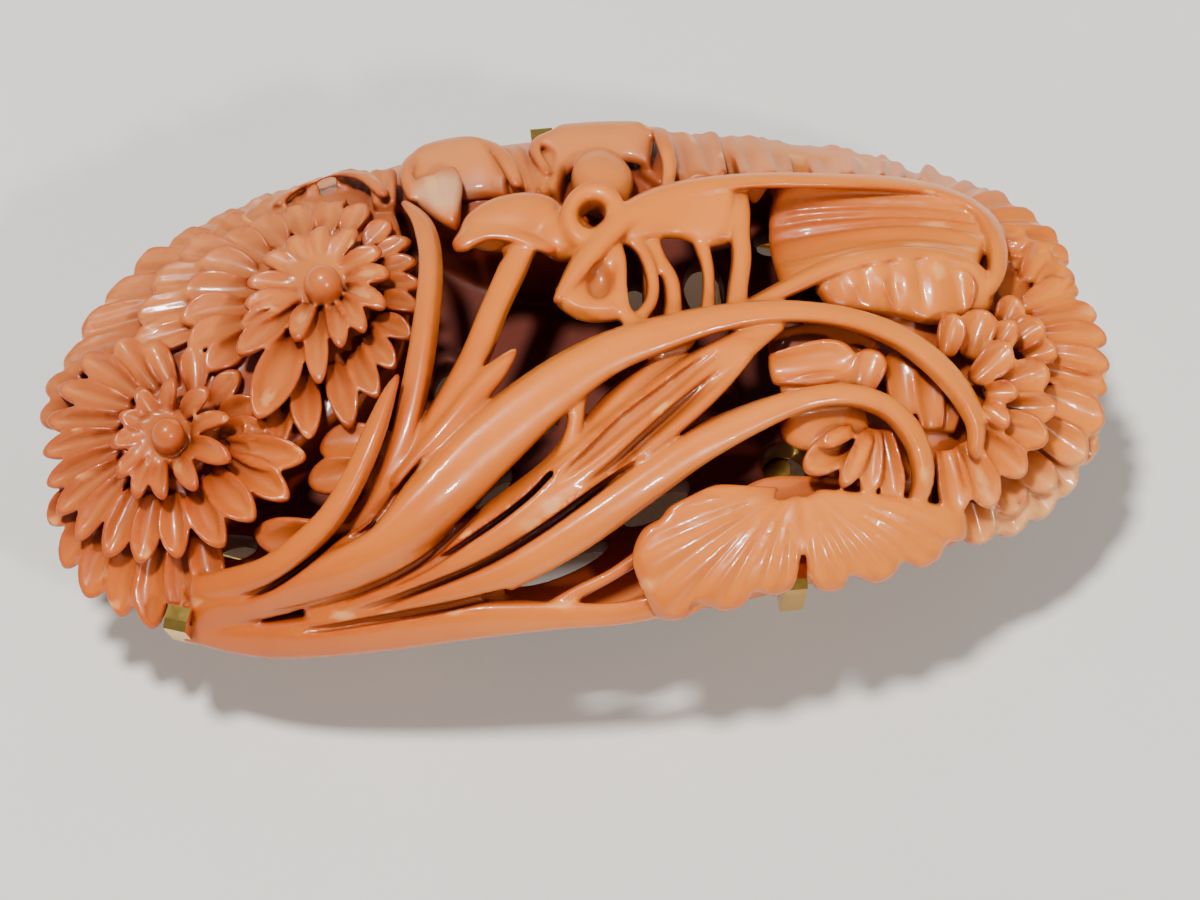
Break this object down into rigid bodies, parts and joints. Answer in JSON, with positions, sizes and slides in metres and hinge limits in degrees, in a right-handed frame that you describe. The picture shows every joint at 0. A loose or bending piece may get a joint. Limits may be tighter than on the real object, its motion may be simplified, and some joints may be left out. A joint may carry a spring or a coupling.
{
  "type": "obidome",
  "caption": "Oval obi ornament: openwork coral carved with leaf blades and flowers, held by claws on a gold frame with two loops that a flat cord slides through.",
  "frame": {"origin": "centre of the plan outline, at the feet of the two cord loops", "axes": "+X along the cord, to the right in the picture; +Y across the sash, to the far side in the picture; +Z out of the carved face"},
  "size_m": [0.0526, 0.0292, 0.0164],
  "materials": {
    "coral": "polished",
    "gold": "polished"
  },
  "bodies": {
    "root": {"coral_carving": "coral", "mount_frame": "gold"}
  },
  "joints": []
}
